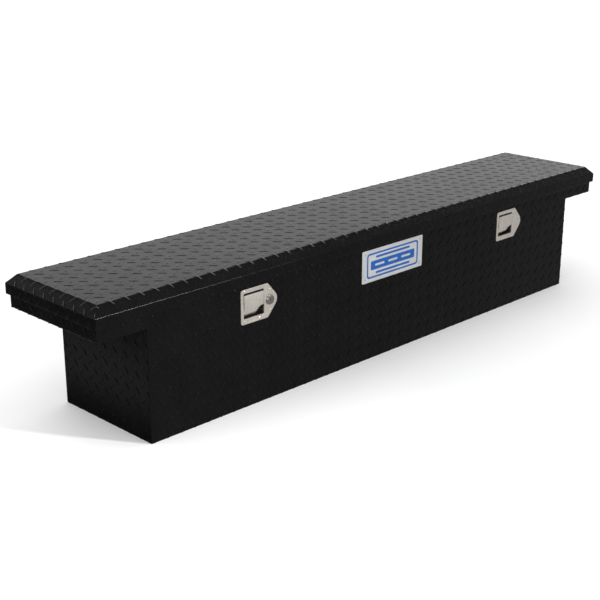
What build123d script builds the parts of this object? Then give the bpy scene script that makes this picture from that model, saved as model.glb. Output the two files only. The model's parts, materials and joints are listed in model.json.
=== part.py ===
"""Crossover truck tool box: folded tread-plate tub and lid, paddle latches, gas struts.

Frame: +X along the box, the front (latch side) faces -Y, +Z up.
Origin: middle of the tub floor's underside. Millimetres. Left means -X.
"""

from build123d import *
import math
import os

os.makedirs("parts", exist_ok=True)

# ---------------------------------------------------------------- driving dimensions
LENGTH = 1752.0          # lid, end to end (69 in)
WIDTH = 317.0            # lid, front to back
TUB_DEPTH = 254.0        # tub below the bed rails (10 in)
WING_HEIGHT = 30.0       # wing below the lid skirt
SKIRT = 24.0             # lid skirt
SLOPE_RISE = 20.0        # sloped lid edge, height
SLOPE_RUN = 19.0         # sloped lid edge, width
WING_REACH = 127.0       # box side to lid end (5 in)
END_OVERHANG = 6.0       # lid past the wing ends
SIDE_OVERHANG = 7.0      # lid past the front and back panels
SHEET = 1.6              # tread-plate sheet
PAN_SHEET = 1.2          # lid pan, hinge leaf and stiffener sheet

RIM_Z = 296.0            # top of the tub's inward flange
RIM_FLANGE = 22.0
SEAL_WIDTH = 12.0
SEAL_HEIGHT = 7.6
PAN_Z = 304.0            # underside of the lid pan
HEM = 8.0                # doubled-back edge inside the lid skirt

HINGE_Y = 155.1
HINGE_Z = 280.0
BARREL_R = 3.3
HINGE_PIN_R = 1.5
RUNNING = 0.05           # radial clearance of a pin that turns
KNUCKLE = 50.8
KNUCKLES = 33
KNUCKLE_GAP = 0.4
LEAF_DROP = 26.0
LEAF_RISE = 22.0
RIVET_R = 1.6
RIVET_HEAD_R = 3.1
RIVET_HEAD = 1.3
HINGE_RIVETS = 17
HINGE_RIVET_PITCH = 98.0

LATCH_X = 459.0          # paddle centre from the middle of the box
LATCH_Z = 234.0
PLATE_HEIGHT = 79.0
PLATE_LENGTH = 107.0
PLATE_THICK = 1.5
NOSE_R = 20.0
OPENING_WIDTH = 60.0
OPENING_TOP = 30.5       # from the latch centre line
OPENING_BOTTOM = -27.5
DISH_DEPTH = 16.0
DISH_WALL = 1.2
LOCK_OFFSET = 47.5       # key axis from the paddle centre

PADDLE_FRONT = -2.3      # paddle face, just proud of the plate
PADDLE_THICK = 1.5
PADDLE_TOP = 26.0
PADDLE_CREASE = -4.0     # below this the paddle leans inward
PADDLE_FOOT = -18.5
PADDLE_LEAN = 4.8
PADDLE_LIP = 6.0         # inward flange along the foot
SCOOP_R = 19.0           # finger cut-out at the paddle's lower right
SCOOP_Z = -24.0
PADDLE_PIN_Y = 5.0       # from the front panel's outer face
PADDLE_PIN_Z = 22.0      # from the latch centre line
PADDLE_PIN_R = 2.0
HOOK_PIN_Y = 38.0
HOOK_PIN_Z = 14.0
HOOK_PIN_R = 2.5
BAR_Y = 45.0
BAR_Z = 36.0
BAR_R = 3.0

NAMEPLATE_WIDTH = 221.0
NAMEPLATE_HEIGHT = 80.0
NAMEPLATE_Z = 237.0

RAIL_BOLT_SPACING = 200.0
RAIL_BOLT_R = 4.5

STRUT_X = 731.0
STRUT_FOOT = (-10.0, 100.0)      # pivot on the tub, Y and Z
STRUT_HEAD = (94.0, 281.0)       # pivot on the lid when it is shut, Y and Z
EYE_HALF = 3.0
EYE_R = 7.5
STUD_R = 4.0
TUBE_R = 8.0
TUBE_START = 18.0        # along the strut from the lower pivot
TUBE_END = 150.0
ROD_R = 3.0
PISTON_R = 6.4

LOCK_FLANGE_R = 10.8
LOCK_FLANGE = 3.6
LOCK_BODY_R = 9.5
LOCK_BACK = 18.0
PLUG_R = 6.5
CAM_LENGTH = 16.0

# ---------------------------------------------------------------- worked-out places
HALF_L = LENGTH / 2
HALF_W = WIDTH / 2
WING_Z = TUB_DEPTH
SKIRT_Z = WING_Z + WING_HEIGHT
SLOPE_Z = SKIRT_Z + SKIRT
TOP_Z = SLOPE_Z + SLOPE_RISE
TUB_X = HALF_L - WING_REACH
WING_X = HALF_L - END_OVERHANG
FACE_Y = HALF_W - SIDE_OVERHANG
STRUT_REACH = math.dist(STRUT_FOOT, STRUT_HEAD)
STRUT_ANGLE = math.degrees(
    math.atan2(STRUT_HEAD[1] - STRUT_FOOT[1], STRUT_HEAD[0] - STRUT_FOOT[0])
)


def block(x0, x1, y0, y1, z0, z1):
    """Box between two corners, given in any order."""
    lo = [min(x0, x1), min(y0, y1), min(z0, z1)]
    hi = [max(x0, x1), max(y0, y1), max(z0, z1)]
    size = [b - a for a, b in zip(lo, hi)]
    return Pos(*lo) * Box(*size, align=(Align.MIN, Align.MIN, Align.MIN))


def rod_x(x0, x1, y, z, r):
    """Cylinder along X."""
    return Pos((x0 + x1) / 2, y, z) * Rot(0, 90, 0) * Cylinder(r, abs(x1 - x0))


def rod_y(x, y0, y1, z, r):
    """Cylinder along Y."""
    return Pos(x, (y0 + y1) / 2, z) * Rot(90, 0, 0) * Cylinder(r, abs(y1 - y0))


def rod_z(x, y, z0, z1, r):
    """Cylinder along Z."""
    return Pos(x, y, (z0 + z1) / 2) * Cylinder(r, abs(z1 - z0))


def profile_yz(points, x0, x1):
    """Prism along X of a closed outline given as (y, z) points."""
    face = Face(Wire.make_polygon([Vector(x0, y, z) for y, z in points], close=True))
    return extrude(face, amount=x1 - x0, dir=(1, 0, 0))


def outline_xz(sketch, y0, y1):
    """Prism along Y of a sketch drawn with its x along X and its y along Z."""
    plane = Plane(origin=(0, y0, 0), x_dir=(1, 0, 0), z_dir=(0, -1, 0))
    return extrude(plane * sketch, amount=y1 - y0, dir=(0, 1, 0))


def dome(x, y, z, direction):
    """Rivet head: a low dome whose flat side is at the point, bulging along direction."""
    ball_r = (RIVET_HEAD_R**2 + RIVET_HEAD**2) / (2 * RIVET_HEAD)
    cap = Pos(0, 0, RIVET_HEAD - ball_r) * Sphere(ball_r)
    reach = 2 * RIVET_HEAD_R
    cap = cap & block(-reach, reach, -reach, reach, 0, reach)
    return Plane(origin=(x, y, z), z_dir=direction) * cap


def rivet_y(x, z, y_head, y_tail, toward):
    """Rivet along Y: dome at y_head facing toward (+1 or -1), upset tail at y_tail."""
    shank = rod_y(x, y_head, y_tail - toward * 1.0, z, RIVET_R)
    tail = rod_y(x, y_tail, y_tail - toward * 1.0, z, RIVET_R * 1.5)
    return dome(x, y_head, z, (0, toward, 0)) + shank + tail


def rivet_z(x, y, z_head, z_tail):
    """Rivet along Z: dome below z_head, upset tail above z_tail."""
    shank = rod_z(x, y, z_head, z_tail + 1.0, RIVET_R)
    tail = rod_z(x, y, z_tail, z_tail + 1.0, RIVET_R * 1.5)
    return dome(x, y, z_head, (0, 0, -1)) + shank + tail


def save(name, shape):
    """Write one node."""
    export_step(shape, f"parts/{name}.step")


# ---------------------------------------------------------------- latch outlines
def latch_outline():
    """Latch plate outline about the paddle centre: rectangle with a rounded lock nose."""
    left = -OPENING_WIDTH / 2 - 8.0
    nose_x = left + PLATE_LENGTH - NOSE_R
    corner_x = nose_x - 8.0
    half = PLATE_HEIGHT / 2
    rect = Pos((left + corner_x) / 2, 0) * Rectangle(corner_x - left, PLATE_HEIGHT)
    nose = Pos(nose_x, 0) * Circle(NOSE_R)
    reach = math.hypot(nose_x - corner_x, half)
    swing = math.asin(NOSE_R / reach)
    bearing = math.atan2(half, corner_x - nose_x)
    touch = bearing - (math.pi / 2 - swing)
    tip = (nose_x + NOSE_R * math.cos(touch), NOSE_R * math.sin(touch))
    web = Polygon(
        (corner_x - 20, 0), (corner_x, -half), (tip[0], -tip[1]), tip, (corner_x, half),
        align=None,
    )
    shape = rect + nose + web
    corners = shape.vertices().filter_by(lambda v: abs(abs(v.Y) - half) < 0.01)
    return fillet(corners, 6.0)


def opening_outline(grow=0.0):
    """Dish opening about the paddle centre."""
    width = OPENING_WIDTH + 2 * grow
    height = OPENING_TOP - OPENING_BOTTOM + 2 * grow
    middle = (OPENING_TOP + OPENING_BOTTOM) / 2
    return Pos(0, middle) * RectangleRounded(width, height, 3.0 + grow)


def at_latch(shape, side):
    """Move a latch piece from its own frame (panel face at y = 0) to its place."""
    return Pos(side * LATCH_X, -FACE_Y, LATCH_Z) * shape


LATCH_RIVETS = [
    (-27.0, 35.2), (-27.0, -33.6), (16.0, -33.6), (LOCK_OFFSET, 23.5), (LOCK_OFFSET, -23.5),
]


# ---------------------------------------------------------------- tub sheets
def t_panel():
    """Front or back wall: T-shaped sheet with the rim flange turned inward (front wall)."""
    web = block(-TUB_X, TUB_X, -FACE_Y, -FACE_Y + SHEET, 0, WING_Z)
    wings = block(-WING_X, WING_X, -FACE_Y, -FACE_Y + SHEET, WING_Z, RIM_Z)
    flange = block(-WING_X, WING_X, -FACE_Y, -FACE_Y + RIM_FLANGE, RIM_Z - SHEET, RIM_Z)
    return web + wings + flange


def front_panel():
    panel = t_panel()
    for side in (-1, 1):
        cutter = outline_xz(opening_outline(DISH_WALL + 0.4), -2, SHEET + 2)
        for x, z in LATCH_RIVETS:
            cutter += rod_y(x, -2, SHEET + 2, z, RIVET_R + RUNNING)
        if side < 0:
            cutter += rod_y(LOCK_OFFSET, -2, SHEET + 2, 0, 9.8)
        panel -= at_latch(cutter, side)
    for x, z in nameplate_rivet_places():
        panel -= rod_y(x, -FACE_Y - 2, -FACE_Y + 4, z, RIVET_R + RUNNING)
    return panel


def back_panel():
    panel = mirror(t_panel(), about=Plane.XZ)
    for x in hinge_rivet_places():
        panel -= rod_y(x, FACE_Y - 4, FACE_Y + 2, HINGE_Z - LEAF_DROP + 8, RIVET_R + RUNNING)
    return panel


def floor_panel():
    inner_x = TUB_X - SHEET
    inner_y = FACE_Y - SHEET
    return block(-inner_x, inner_x, -inner_y, inner_y, 0, SHEET)


def end_panel(side):
    """Stepped end sheet: wall, wing floor, wing end and rim flange."""
    y = FACE_Y - SHEET
    wall = block(side * TUB_X, side * (TUB_X - SHEET), -y, y, 0, WING_Z + SHEET)
    wing = block(side * (TUB_X - SHEET), side * WING_X, -y, y, WING_Z, WING_Z + SHEET)
    end = block(side * WING_X, side * (WING_X - SHEET), -y, y, WING_Z, RIM_Z - SHEET)
    lip_y = FACE_Y - RIM_FLANGE
    lip_x = side * (WING_X - RIM_FLANGE)
    lip = block(side * WING_X, lip_x, -lip_y, lip_y, RIM_Z - SHEET, RIM_Z)
    sheet = wall + wing + end + lip
    for y_bolt in (-RAIL_BOLT_SPACING / 2, RAIL_BOLT_SPACING / 2):
        sheet -= rod_z(side * (HALF_L - WING_REACH / 2), y_bolt, WING_Z - 2, WING_Z + 4, RAIL_BOLT_R)
    return sheet


def weatherstrip():
    """Foam ring stuck on the rim flange."""
    out_x, out_y = WING_X - 5, FACE_Y - 5
    ring = block(-out_x, out_x, -out_y, out_y, RIM_Z, RIM_Z + SEAL_HEIGHT)
    in_x, in_y = out_x - SEAL_WIDTH, out_y - SEAL_WIDTH
    return ring - block(-in_x, in_x, -in_y, in_y, RIM_Z - 1, RIM_Z + SEAL_HEIGHT + 1)


# ---------------------------------------------------------------- hinge
def hinge_rivet_places():
    first = -HINGE_RIVET_PITCH * (HINGE_RIVETS - 1) / 2
    return [first + HINGE_RIVET_PITCH * i for i in range(HINGE_RIVETS)]


def knuckle_spans(parity):
    """X spans of every second knuckle: parity 0 for the tub leaf, 1 for the lid leaf."""
    start = -KNUCKLE * KNUCKLES / 2
    half_gap = KNUCKLE_GAP / 2
    spans = []
    for i in range(parity, KNUCKLES, 2):
        spans.append((start + KNUCKLE * i + half_gap, start + KNUCKLE * (i + 1) - half_gap))
    return spans


def hinge_leaf(parity):
    """Flat leaf with its knuckles. The other leaf's knuckles turn clear of its edge."""
    half = KNUCKLE * KNUCKLES / 2 - KNUCKLE_GAP / 2
    if parity == 0:
        inner, outer = FACE_Y, FACE_Y + PAN_SHEET
        far, near, root = HINGE_Z - LEAF_DROP, HINGE_Z - BARREL_R - 0.5, HINGE_Z
        rivet_z_place = HINGE_Z - LEAF_DROP + 8
    else:
        inner, outer = HALF_W - SHEET - PAN_SHEET, HALF_W - SHEET
        far, near, root = HINGE_Z + LEAF_RISE, HINGE_Z + BARREL_R + 0.5, HINGE_Z
        rivet_z_place = lid_rivet_z()
    leaf = block(-half, half, inner, outer, far, near)
    for x0, x1 in knuckle_spans(parity):
        leaf += block(x0, x1, inner, outer, near, root)
        leaf += rod_x(x0, x1, HINGE_Y, HINGE_Z, BARREL_R)
    leaf -= rod_x(-half - 1, half + 1, HINGE_Y, HINGE_Z, HINGE_PIN_R + RUNNING)
    for x in hinge_rivet_places():
        leaf -= rod_y(x, inner - 2, outer + 2, rivet_z_place, RIVET_R + RUNNING)
    return leaf


def lid_rivet_z():
    return (SKIRT_Z + HINGE_Z + LEAF_RISE) / 2


def hinge_pin():
    half = KNUCKLE * KNUCKLES / 2
    return rod_x(-half, half, HINGE_Y, HINGE_Z, HINGE_PIN_R)


def hinge_rivets_tub():
    z = HINGE_Z - LEAF_DROP + 8
    return Compound(
        [rivet_y(x, z, FACE_Y + PAN_SHEET, FACE_Y - SHEET, 1) for x in hinge_rivet_places()]
    )


def hinge_rivets_lid():
    z = lid_rivet_z()
    return Compound(
        [rivet_y(x, z, HALF_W, HALF_W - SHEET - PAN_SHEET, 1) for x in hinge_rivet_places()]
    )


# ---------------------------------------------------------------- lid
def rectangle_at(half_x, half_y, z):
    return Pos(0, 0, z) * Rectangle(2 * half_x, 2 * half_y)


def lid_body(inset, top):
    """Lid block: straight skirt below, four sloped edges above, both moved in by inset."""
    slope = math.hypot(SLOPE_RUN, SLOPE_RISE)
    knee = SLOPE_Z + inset * (SLOPE_RISE - slope) / SLOPE_RUN
    run = (top - SLOPE_Z) * SLOPE_RUN / SLOPE_RISE + inset * slope / SLOPE_RISE
    half_x, half_y = HALF_L - inset, HALF_W - inset
    skirt = block(-half_x, half_x, -half_y, half_y, SKIRT_Z, knee)
    crown = loft([
        rectangle_at(half_x, half_y, knee),
        rectangle_at(HALF_L - run, HALF_W - run, top),
    ])
    return skirt + crown


def lid_shell():
    shell = lid_body(0, TOP_Z) - lid_body(SHEET, TOP_Z - SHEET)
    inner_x, inner_y = HALF_L - SHEET, HALF_W - SHEET
    shell += block(-inner_x, inner_x, -inner_y, -inner_y + SHEET, SKIRT_Z, SKIRT_Z + HEM)
    for side in (-1, 1):
        hem = block(side * inner_x, side * (inner_x - SHEET), -inner_y, inner_y, SKIRT_Z, SKIRT_Z + HEM)
        shell += hem
    for x in hinge_rivet_places():
        shell -= rod_y(x, HALF_W - 4, HALF_W + 2, lid_rivet_z(), RIVET_R + RUNNING)
    return shell


def lid_inner_pan():
    """Flat pan that lands on the weatherstrip, with its edges turned up."""
    half_x, half_y = WING_X - 2, FACE_Y - 1.5
    outer = block(-half_x, half_x, -half_y, half_y, PAN_Z, PAN_Z + 7)
    inner_x, inner_y = half_x - PAN_SHEET, half_y - PAN_SHEET
    pan = outer - block(-inner_x, inner_x, -inner_y, inner_y, PAN_Z + PAN_SHEET, PAN_Z + 8)
    for side in (-1, 1):
        for x, y in striker_rivet_places(side) + strut_bracket_rivets(side):
            pan -= rod_z(x, y, PAN_Z - 2, PAN_Z + 4, RIVET_R + RUNNING)
    return pan


def lid_stiffener(x):
    """Hat-section channel across the lid, between the pan and the lid's top."""
    z0, z1 = PAN_Z + PAN_SHEET, TOP_Z - SHEET
    half_y = 125.0
    crown = block(x - 20, x + 20, -half_y, half_y, z1 - PAN_SHEET, z1)
    hat = crown
    for side in (-1, 1):
        hat += block(x + side * 20, x + side * (20 - PAN_SHEET), -half_y, half_y, z0, z1)
        hat += block(x + side * (20 - PAN_SHEET), x + side * 38, -half_y, half_y, z0, z0 + PAN_SHEET)
    return hat


# ---------------------------------------------------------------- strikers
def striker_rivet_places(side):
    x = side * LATCH_X
    y = -FACE_Y + BAR_Y
    return [(x - 20, y), (x + 20, y)]


def striker(side):
    """U-shaped striker: base plate on the pan, two legs and a round bar."""
    x = side * LATCH_X
    y = -FACE_Y + BAR_Y
    z_bar = LATCH_Z + BAR_Z
    body = block(x - 27, x + 27, y - 9, y + 9, PAN_Z - 2, PAN_Z)
    for leg in (-1, 1):
        body += block(x + leg * 7, x + leg * 10, y - 5, y + 5, z_bar - 5, PAN_Z - 2)
    body += rod_x(x - 10, x + 10, y, z_bar, BAR_R)
    for xr, yr in striker_rivet_places(side):
        body -= rod_z(xr, yr, PAN_Z - 4, PAN_Z + 2, RIVET_R + RUNNING)
    return body


def striker_rivets(side):
    return Compound(
        [rivet_z(x, y, PAN_Z - 2, PAN_Z + PAN_SHEET) for x, y in striker_rivet_places(side)]
    )


# ---------------------------------------------------------------- latch
def latch_plate(side):
    """Stamped plate with its recessed dish, one piece of stainless sheet."""
    plate = outline_xz(latch_outline(), -PLATE_THICK, 0)
    dish = outline_xz(opening_outline(DISH_WALL), -PLATE_THICK, DISH_DEPTH)
    plate += dish
    plate -= outline_xz(opening_outline(), -PLATE_THICK - 1, DISH_DEPTH - DISH_WALL)
    plate -= block(-4, 4, DISH_DEPTH - 4, DISH_DEPTH + 2, 9, 26)
    plate -= rod_x(-40, 40, PADDLE_PIN_Y, PADDLE_PIN_Z, PADDLE_PIN_R)
    for x, z in LATCH_RIVETS:
        plate -= rod_y(x, -4, 4, z, RIVET_R + RUNNING)
    if side < 0:
        plate -= rod_y(LOCK_OFFSET, -4, 4, 0, 9.6)
    return at_latch(plate, side)


def latch_rivets(side):
    rivets = [rivet_y(x, z, -PLATE_THICK, SHEET, -1) for x, z in LATCH_RIVETS]
    return at_latch(Compound(rivets), side)


def paddle(side):
    """Pull paddle: flat above, leaning inward below, with ears and the trip lever."""
    wide = OPENING_WIDTH / 2 - 1.5
    front, back, thick = PADDLE_FRONT, PADDLE_FRONT + PADDLE_THICK, PADDLE_THICK
    face = profile_yz(
        [(front, PADDLE_TOP), (front, PADDLE_CREASE), (front + PADDLE_LEAN, PADDLE_FOOT),
         (back + PADDLE_LEAN + PADDLE_LIP, PADDLE_FOOT),
         (back + PADDLE_LEAN + PADDLE_LIP, PADDLE_FOOT + thick),
         (back + PADDLE_LEAN, PADDLE_FOOT + thick), (back, PADDLE_CREASE), (back, PADDLE_TOP)],
        -wide, wide,
    )
    face -= rod_y(wide, -5, 15, SCOOP_Z, SCOOP_R)
    ear = [(back, PADDLE_TOP), (back, 8), (9, 18), (9, PADDLE_TOP)]
    for x0 in (-wide, wide - thick):
        face += profile_yz(ear, x0, x0 + thick)
    lever = [(back, PADDLE_TOP), (back, 14), (8, 18.5), (17.5, 21), (17.5, 23), (9, PADDLE_TOP)]
    face += profile_yz(lever, -2.5, 2.5)
    face -= rod_x(-wide - 1, wide + 1, PADDLE_PIN_Y, PADDLE_PIN_Z, PADDLE_PIN_R + RUNNING)
    return at_latch(face, side)


def paddle_pin(side):
    half = OPENING_WIDTH / 2 + DISH_WALL
    return at_latch(rod_x(-half, half, PADDLE_PIN_Y, PADDLE_PIN_Z, PADDLE_PIN_R), side)


def spring_sleeve(x0, x1, y, z, r_pin):
    """Envelope of a torsion spring's coils around a pin."""
    coil = rod_x(x0, x1, y, z, r_pin + 1.6)
    return coil - rod_x(x0 - 1, x1 + 1, y, z, r_pin + 0.4)


def paddle_spring(side):
    return at_latch(spring_sleeve(-20, -6, PADDLE_PIN_Y, PADDLE_PIN_Z, PADDLE_PIN_R), side)


def latch_bracket(side):
    """Folded bracket welded on the back of the dish; its cheeks carry the hook."""
    base = block(-8.5, 8.5, DISH_DEPTH, DISH_DEPTH + 1.5, 0, 30)
    base -= block(-4, 4, DISH_DEPTH - 1, DISH_DEPTH + 3, 9, 26)
    cheek = [(DISH_DEPTH, 0), (DISH_DEPTH, 30), (28, 30), (46, 20), (46, 6), (40, 0)]
    for x0 in (-8.5, 7.0):
        base += profile_yz(cheek, x0, x0 + 1.5)
    base -= rod_x(-12, 12, HOOK_PIN_Y, HOOK_PIN_Z, HOOK_PIN_R)
    return at_latch(base, side)


def latch_hook(side):
    """Hook that holds the striker bar: lug to the paddle lever, arm and bevelled beak."""
    outline = [
        (18, 19), (18, 15), (33, 10), (38, 8), (43, 10), (44, 15), (39, 22), (38.5, 39.5),
        (41.3, 40.5), (41.3, 42), (35, 48), (32.5, 46), (32.5, 20),
    ]
    hook = profile_yz(outline, -2.5, 2.5)
    hook -= rod_x(-5, 5, HOOK_PIN_Y, HOOK_PIN_Z, HOOK_PIN_R + RUNNING)
    return at_latch(hook, side)


def hook_pin(side):
    """Pin through the cheeks, with a head outside each."""
    pin = rod_x(-8.5, 8.5, HOOK_PIN_Y, HOOK_PIN_Z, HOOK_PIN_R)
    pin += rod_x(-10, -8.5, HOOK_PIN_Y, HOOK_PIN_Z, 4.5)
    pin += rod_x(8.5, 10, HOOK_PIN_Y, HOOK_PIN_Z, 4.5)
    return at_latch(pin, side)


def hook_spring(side):
    return at_latch(spring_sleeve(2.9, 6.6, HOOK_PIN_Y, HOOK_PIN_Z, HOOK_PIN_R), side)


# ---------------------------------------------------------------- lock (left latch)
def lock_cylinder():
    """Cylinder body: front flange, barrel through plate and panel, bore for the plug."""
    body = rod_y(LOCK_OFFSET, -PLATE_THICK - LOCK_FLANGE, -PLATE_THICK, 0, LOCK_FLANGE_R)
    front_edge = body.edges().filter_by(GeomType.CIRCLE).sort_by(Axis.Y)[0]
    body = chamfer(front_edge, 1.2)
    body += rod_y(LOCK_OFFSET, -PLATE_THICK, LOCK_BACK, 0, LOCK_BODY_R)
    body -= rod_y(LOCK_OFFSET, -10, LOCK_BACK + 1, 0, PLUG_R + RUNNING)
    return at_latch(body, -1)


def lock_nut():
    """Hexagon nut that clamps the cylinder behind the front panel."""
    hexagon = Pos(LOCK_OFFSET, 0) * RegularPolygon(14.0, 6)
    nut = outline_xz(hexagon, SHEET, SHEET + 5)
    nut -= rod_y(LOCK_OFFSET, SHEET - 1, SHEET + 6, 0, LOCK_BODY_R)
    return at_latch(nut, -1)


def lock_plug():
    """Key plug with its keyway slot."""
    face = -PLATE_THICK - LOCK_FLANGE + 0.4
    plug = rod_y(LOCK_OFFSET, face, LOCK_BACK + 0.5, 0, PLUG_R)
    plug -= block(LOCK_OFFSET - 0.8, LOCK_OFFSET + 0.8, -8, 8, -4.5, 4.5)
    plug += rod_y(LOCK_OFFSET, LOCK_BACK + 0.5, LOCK_BACK + 5.5, 0, 3.0)
    return at_latch(plug, -1)


def lock_cam():
    """Flat cam on the plug's tail, hanging down when unlocked."""
    y0, y1 = LOCK_BACK + 0.5, LOCK_BACK + 3.0
    cam = rod_y(LOCK_OFFSET, y0, y1, 0, 7.0)
    cam += block(LOCK_OFFSET - 5, LOCK_OFFSET + 5, y0, y1, -CAM_LENGTH, 0)
    cam -= rod_y(LOCK_OFFSET, y0 - 1, y1 + 1, 0, 3.0)
    return at_latch(cam, -1)


# ---------------------------------------------------------------- nameplate
def nameplate_rivet_places():
    x = NAMEPLATE_WIDTH / 2 - 10.5
    z = NAMEPLATE_HEIGHT / 2 - 9
    return [(i * x, NAMEPLATE_Z + j * z) for i in (-1, 1) for j in (-1, 1)]


def nameplate():
    """Plain plate on the front panel."""
    sketch = Pos(0, NAMEPLATE_Z) * RectangleRounded(NAMEPLATE_WIDTH, NAMEPLATE_HEIGHT, 3.0)
    plate = outline_xz(sketch, -FACE_Y - 1.0, -FACE_Y)
    for x, z in nameplate_rivet_places():
        plate -= rod_y(x, -FACE_Y - 3, -FACE_Y + 1, z, RIVET_R + RUNNING)
    return plate


def nameplate_rivets():
    head, tail = -FACE_Y - 1.0, -FACE_Y + SHEET
    return Compound([rivet_y(x, z, head, tail, -1) for x, z in nameplate_rivet_places()])


# ---------------------------------------------------------------- gas struts
def strut_frame(side):
    """Plane at the lower pivot: X across the box, Z along the strut."""
    angle = math.radians(STRUT_ANGLE)
    along = (0, math.cos(angle), math.sin(angle))
    return Plane(origin=(side * STRUT_X, *STRUT_FOOT), x_dir=(1, 0, 0), z_dir=along)


def strut_eye(at, shank):
    """Flattened eye at a pivot with a shank that reaches along the strut (own frame)."""
    eye = rod_x(-EYE_HALF, EYE_HALF, 0, at, EYE_R)
    lo, hi = sorted((at, at + shank))
    eye += block(-EYE_HALF, EYE_HALF, -4, 4, lo, hi)
    return eye - rod_x(-EYE_HALF - 1, EYE_HALF + 1, 0, at, STUD_R + RUNNING)


def strut_cylinder(side):
    """Pressure tube with its guide end."""
    tube = rod_z(0, 0, TUBE_START, TUBE_END, TUBE_R)
    tube -= rod_z(0, 0, TUBE_START + 3, TUBE_END - 6, PISTON_R + RUNNING)
    tube -= rod_z(0, 0, TUBE_END - 8, TUBE_END + 1, ROD_R + RUNNING)
    return strut_frame(side) * tube


def strut_lower_eye(side):
    return strut_frame(side) * strut_eye(0, TUBE_START)


def strut_rod(side):
    """Polished rod with its piston inside the tube."""
    piston_z = TUBE_START + 5
    rod = rod_z(0, 0, piston_z, STRUT_REACH - 22, ROD_R)
    rod += rod_z(0, 0, piston_z, piston_z + 8, PISTON_R)
    return strut_frame(side) * rod


def strut_upper_eye(side):
    return strut_frame(side) * strut_eye(STRUT_REACH, -22)


def strut_mount_tub(side):
    """Plate welded on the end wall with the stud that the lower eye turns on."""
    wall = TUB_X - SHEET
    y, z = STRUT_FOOT
    plate = block(side * wall, side * (wall - 2.5), y - 12, y + 12, z - 24, z + 24)
    plate += rod_x(side * (wall - 2.5), side * (STRUT_X - EYE_HALF - 0.4), y, z, STUD_R)
    plate += rod_x(side * (wall - 2.5), side * (STRUT_X + EYE_HALF + 0.4), y, z, 6.5)
    plate += rod_x(side * (STRUT_X - EYE_HALF - 0.4), side * (STRUT_X - EYE_HALF - 2.4), y, z, 6.0)
    return plate


def strut_bracket_rivets(side):
    x = side * (STRUT_X - 28)
    return [(x, STRUT_HEAD[0] - 10), (x, STRUT_HEAD[0] + 10)]


def strut_mount_lid(side):
    """Angle bracket under the pan; its stub pin ends just short of the upper eye."""
    y, z = STRUT_HEAD
    tab_out = STRUT_X - 13
    tab = block(side * tab_out, side * (tab_out - 2.5), y - 9, y + 9, z, PAN_Z)
    tab += rod_x(side * tab_out, side * (tab_out - 2.5), y, z, 9)
    foot = block(side * tab_out, side * (tab_out - 22), y - 18, y + 18, PAN_Z - 2.5, PAN_Z)
    stub = rod_x(side * tab_out, side * (STRUT_X - EYE_HALF - 0.4), y, z, STUD_R)
    bracket = tab + foot + stub
    for xr, yr in strut_bracket_rivets(side):
        bracket -= rod_z(xr, yr, PAN_Z - 4, PAN_Z + 1, RIVET_R + RUNNING)
    return bracket


def strut_mount_rivets_lid(side):
    places = strut_bracket_rivets(side)
    return Compound([rivet_z(x, y, PAN_Z - 2.5, PAN_Z + PAN_SHEET) for x, y in places])


# ---------------------------------------------------------------- write every node
NODES = {
    "front_panel": front_panel,
    "back_panel": back_panel,
    "floor_panel": floor_panel,
    "weatherstrip": weatherstrip,
    "hinge_leaf_tub": lambda: hinge_leaf(0),
    "hinge_leaf_lid": lambda: hinge_leaf(1),
    "hinge_pin": hinge_pin,
    "hinge_rivets_tub": hinge_rivets_tub,
    "hinge_rivets_lid": hinge_rivets_lid,
    "lid_shell": lid_shell,
    "lid_inner_pan": lid_inner_pan,
    "lid_stiffener_left": lambda: lid_stiffener(-570),
    "lid_stiffener_center": lambda: lid_stiffener(0),
    "lid_stiffener_right": lambda: lid_stiffener(570),
    "nameplate": nameplate,
    "nameplate_rivets": nameplate_rivets,
    "lock_cylinder": lock_cylinder,
    "lock_nut": lock_nut,
    "lock_plug": lock_plug,
    "lock_cam": lock_cam,
}
PAIRED = [
    end_panel, latch_plate, latch_rivets, latch_bracket, latch_hook, hook_pin, hook_spring,
    paddle, paddle_pin, paddle_spring, striker, striker_rivets,
    strut_cylinder, strut_lower_eye, strut_rod, strut_upper_eye,
    strut_mount_tub, strut_mount_lid, strut_mount_rivets_lid,
]

for name, make in NODES.items():
    save(name, make())
for make in PAIRED:
    for word, side in (("left", -1), ("right", 1)):
        save(f"{make.__name__}_{word}", make(side))
print("strut angle", round(STRUT_ANGLE, 3), "length", round(STRUT_REACH, 3))
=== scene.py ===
"""Looks of the crossover truck tool box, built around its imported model.

Metres, in the model's own frame: +X along the box, the front faces -Y, +Z up.
"""

import json
import math

import bmesh
import bpy
import numpy as np
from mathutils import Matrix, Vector
from mathutils.geometry import delaunay_2d_cdt


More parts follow.
